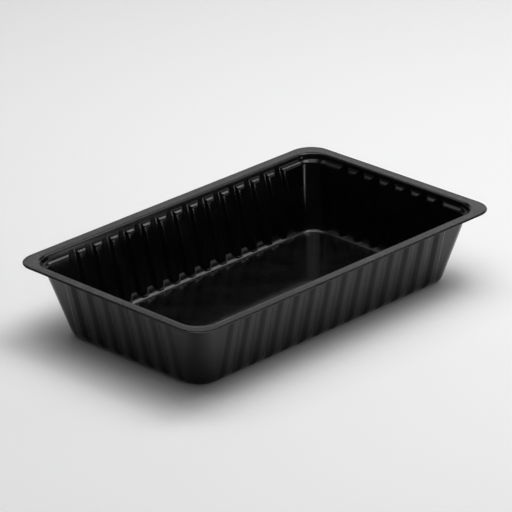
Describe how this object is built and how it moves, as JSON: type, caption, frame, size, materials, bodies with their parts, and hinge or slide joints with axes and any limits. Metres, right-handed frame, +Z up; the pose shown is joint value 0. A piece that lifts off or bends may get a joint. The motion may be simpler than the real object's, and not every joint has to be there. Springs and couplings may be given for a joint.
{
  "type": "plastic food tray",
  "caption": "Empty rectangular food tray, thermoformed in thin black plastic: tapering walls with upright ribs, a small ledge under a plain collar, and a flat flange round the rim.",
  "frame": {"origin": "middle of the underside of the floor, on the surface that the tray stands on", "axes": "+Z up, X along the long sides, Y along the short sides"},
  "size_m": [0.23, 0.144, 0.0425],
  "materials": {
    "black_plastic": "semi-gloss moulded plastic sheet"
  },
  "bodies": {
    "root": {"tray": "black_plastic"}
  },
  "joints": []
}
